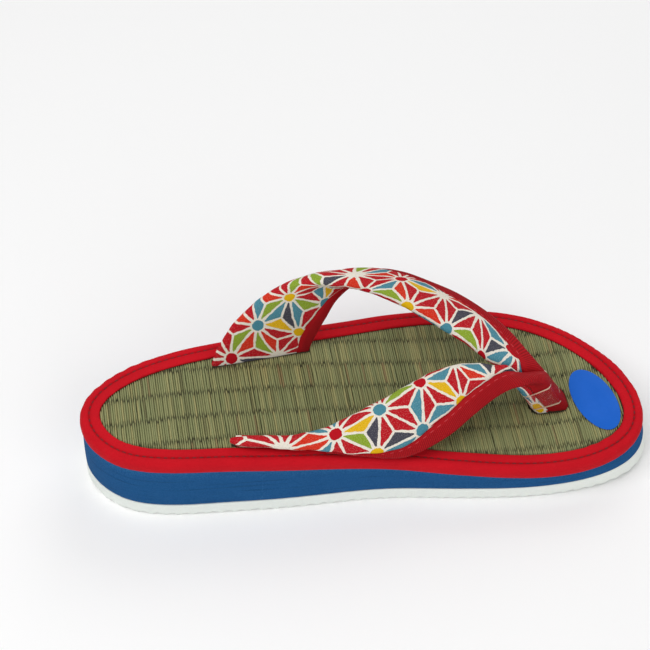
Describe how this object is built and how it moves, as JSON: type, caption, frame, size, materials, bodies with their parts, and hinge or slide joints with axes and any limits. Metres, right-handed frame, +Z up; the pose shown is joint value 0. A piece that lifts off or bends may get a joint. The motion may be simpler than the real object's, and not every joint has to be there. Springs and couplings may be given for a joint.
{
  "type": "zori sandal",
  "caption": "Left zori sandal with a foam wedge sole, bound rush mat, padded print straps with red edging and a banded toe post.",
  "frame": {"origin": "on the floor, under the middle of the sandal's box", "axes": "+X from heel to toe, +Y towards the little toe, +Z up"},
  "size_m": [0.2486, 0.094, 0.0749],
  "materials": {
    "outsole_rubber": "off-white rippled rubber",
    "midsole_foam": "blue closed-cell foam, matt",
    "rush_mat": "woven rush, olive",
    "binding_cloth": "red cotton cloth",
    "strap_cloth": "crepe cotton with a hemp-leaf print in many colours",
    "edging_tape": "red ribbed tape",
    "clear_vinyl": "clear film",
    "sticker_film": "blue film, satin"
  },
  "bodies": {
    "root": {"outsole": "outsole_rubber", "midsole": "midsole_foam", "insole_mat": "rush_mat", "binding": "binding_cloth", "straps": "strap_cloth", "edging_inner_side": "edging_tape", "edging_outer_side": "edging_tape", "post_band": "clear_vinyl", "toe_sticker": "sticker_film"}
  },
  "joints": []
}
